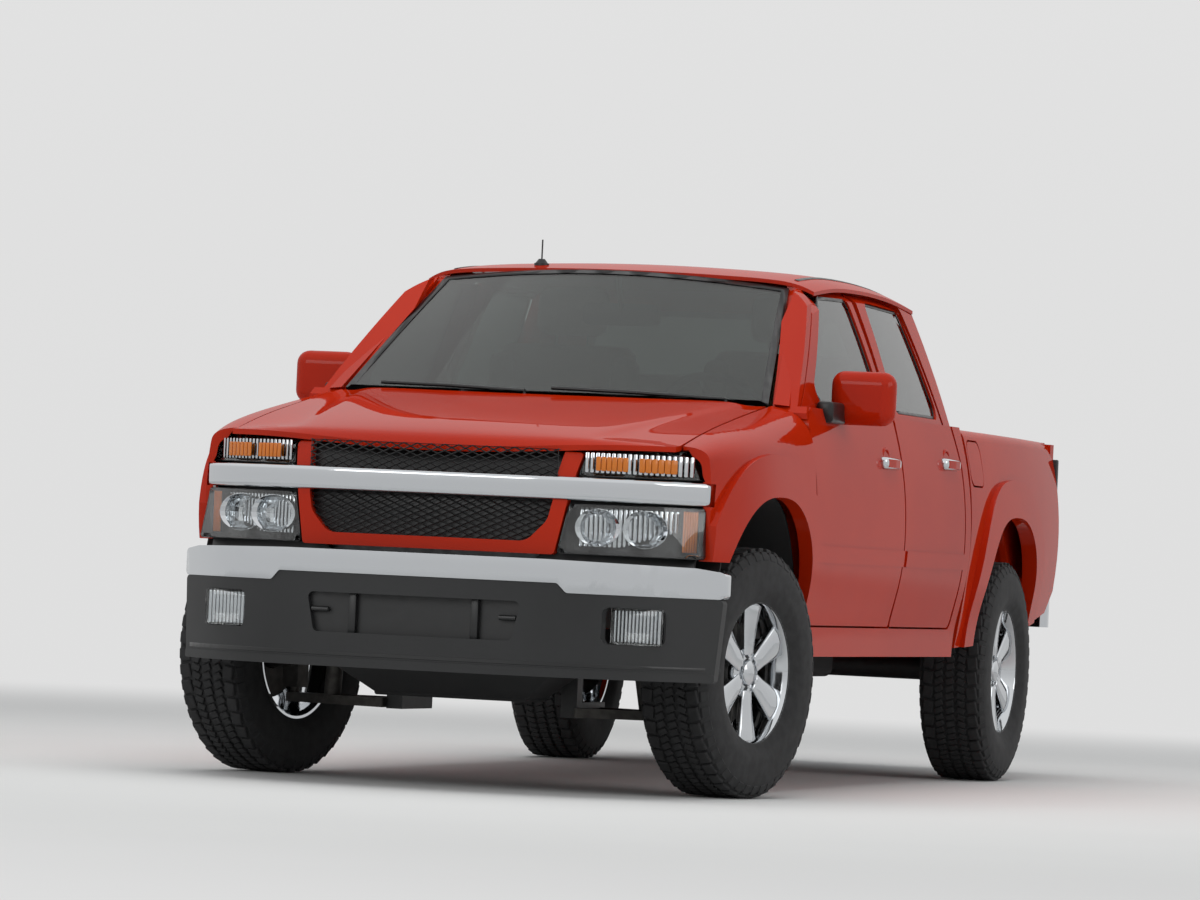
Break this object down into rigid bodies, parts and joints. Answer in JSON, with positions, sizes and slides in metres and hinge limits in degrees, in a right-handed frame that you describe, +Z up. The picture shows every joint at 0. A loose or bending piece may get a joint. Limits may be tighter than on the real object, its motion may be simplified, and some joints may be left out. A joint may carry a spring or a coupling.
{
  "type": "crew cab pickup truck",
  "caption": "Crew cab pickup truck with opening doors, hood, tailgate and fuel door, steered front wheels and turning wheels.",
  "frame": {"origin": "on the ground, midway between the foremost and the rearmost point", "axes": "+X is the left side of the vehicle, -Y its front, +Z up"},
  "size_m": [1.97, 5.2597, 1.7107],
  "materials": {
    "body_paint": "gloss",
    "chassis_black": "satin",
    "spring_steel": "worn",
    "cast_parts": "cast",
    "radiator_metal": "matte",
    "exhaust_steel": "dull",
    "underbody_plastic": "matte",
    "tyre_rubber": "matte",
    "glass": "gloss",
    "black_plastic": "satin",
    "chrome": "gloss",
    "lamp_glass": "gloss",
    "grey_plastic": "grained",
    "lamp_red": "gloss",
    "interior_plastic": "grained",
    "seat_fabric": "woven"
  },
  "bodies": {
    "root": {"frame_chassis": "chassis_black", "rear_axle": "chassis_black", "leaf_springs": "spring_steel", "front_suspension": "cast_parts", "drive_shafts": "cast_parts", "engine": "cast_parts", "radiator": "radiator_metal", "exhaust": "exhaust_steel", "fuel_tank": "underbody_plastic", "spare_tyre": "tyre_rubber", "cab_floor": "body_paint", "cab_sides": "body_paint", "roof": "body_paint", "cab_rear": "body_paint", "cab_glass": "glass", "cowl": "black_plastic", "fenders": "body_paint", "inner_fenders": "underbody_plastic", "nose_surround": "body_paint", "nose_bar": "chrome", "grille_mesh": "black_plastic", "front_panel": "black_plastic", "front_lamps": "lamp_glass", "front_bumper_bar": "chrome", "front_bumper_cover": "grey_plastic", "rear_bumper": "chrome", "bed_sides": "body_paint", "bed_floor": "body_paint", "tail_lamps": "lamp_red", "dashboard": "interior_plastic", "front_seats": "seat_fabric", "rear_seat": "seat_fabric", "console": "interior_plastic", "interior_mirror": "black_plastic", "antenna": "black_plastic", "wipers": "black_plastic"},
    "hood": {"hood": "body_paint"},
    "tailgate": {"tailgate": "body_paint"},
    "fuel_door": {"fuel_door": "body_paint"},
    "steering_wheel": {"steering_wheel": "interior_plastic"},
    "knuckle_left": {"knuckle_left": "cast_parts"},
    "knuckle_right": {"knuckle_right": "cast_parts"},
    "door_front_left": {"door_front_left": "body_paint", "glass_front_left": "glass", "mirror_left": "body_paint"},
    "wheel_front_left": {"tyre_front_left": "tyre_rubber", "rim_front_left": "chrome"},
    "door_front_right": {"door_front_right": "body_paint", "glass_front_right": "glass", "mirror_right": "body_paint"},
    "wheel_front_right": {"tyre_front_right": "tyre_rubber", "rim_front_right": "chrome"},
    "door_rear_left": {"door_rear_left": "body_paint", "glass_rear_left": "glass"},
    "wheel_rear_left": {"tyre_rear_left": "tyre_rubber", "rim_rear_left": "chrome"},
    "door_rear_right": {"door_rear_right": "body_paint", "glass_rear_right": "glass"},
    "wheel_rear_right": {"tyre_rear_right": "tyre_rubber", "rim_rear_right": "chrome"}
  },
  "joints": [
    {"name": "hood_hinge", "type": "hinge", "parent": "root", "child": "hood", "pos_m": [0, -1.316, 1.168], "axis": [-1, 0, 0], "range_deg": [0, 38]},
    {"name": "door_front_left_hinge", "type": "hinge", "parent": "root", "child": "door_front_left", "pos_m": [0.856, -1.262, 0.8], "axis": [0, 0, -1], "range_deg": [0, 65]},
    {"name": "door_rear_left_hinge", "type": "hinge", "parent": "root", "child": "door_rear_left", "pos_m": [0.856, -0.127, 0.8], "axis": [0, 0, -1], "range_deg": [0, 68]},
    {"name": "door_front_right_hinge", "type": "hinge", "parent": "root", "child": "door_front_right", "pos_m": [-0.856, -1.262, 0.8], "axis": [0, 0, 1], "range_deg": [0, 65]},
    {"name": "door_rear_right_hinge", "type": "hinge", "parent": "root", "child": "door_rear_right", "pos_m": [-0.856, -0.127, 0.8], "axis": [0, 0, 1], "range_deg": [0, 68]},
    {"name": "tailgate_hinge", "type": "hinge", "parent": "root", "child": "tailgate", "pos_m": [0, 2.419, 0.688], "axis": [-1, 0, 0], "range_deg": [0, 90]},
    {"name": "fuel_door_hinge", "type": "hinge", "parent": "root", "child": "fuel_door", "pos_m": [0.8255, 0.831, 1.075], "axis": [0.2141, 0, -0.9768], "range_deg": [0, 80]},
    {"name": "steer_left", "type": "hinge", "parent": "root", "child": "knuckle_left", "pos_m": [0.645, -1.74, 0.376], "axis": [0, 0, 1], "range_deg": [-16.5, 45.5]},
    {"name": "steer_right", "type": "hinge", "parent": "root", "child": "knuckle_right", "pos_m": [-0.645, -1.74, 0.376], "axis": [0, 0, 1], "range_deg": [-19.3, 46]},
    {"name": "spin_front_left", "type": "hinge", "parent": "knuckle_left", "child": "wheel_front_left", "pos_m": [0.72847, -1.75851, 0.376], "axis": [0.9763, -0.2164, 0], "continuous": true},
    {"name": "spin_front_right", "type": "hinge", "parent": "knuckle_right", "child": "wheel_front_right", "pos_m": [-0.72807, -1.71975, 0.376], "axis": [0.9715, -0.2368, 0], "continuous": true},
    {"name": "spin_rear_left", "type": "hinge", "parent": "root", "child": "wheel_rear_left", "pos_m": [0.7305, 1.46, 0.376], "axis": [1, 0, 0], "continuous": true},
    {"name": "spin_rear_right", "type": "hinge", "parent": "root", "child": "wheel_rear_right", "pos_m": [-0.7305, 1.46, 0.376], "axis": [1, 0, 0], "continuous": true},
    {"name": "steering_wheel_turn", "type": "hinge", "parent": "root", "child": "steering_wheel", "pos_m": [0.365, -0.73, 1.12], "axis": [0, 0.8988, 0.4384], "range_deg": [-250, 690]}
  ],
  "couplings": [
    {"joint": "steer_right", "follows": "steer_left", "ratio": 1},
    {"joint": "steering_wheel_turn", "follows": "steer_left", "ratio": 15}
  ]
}
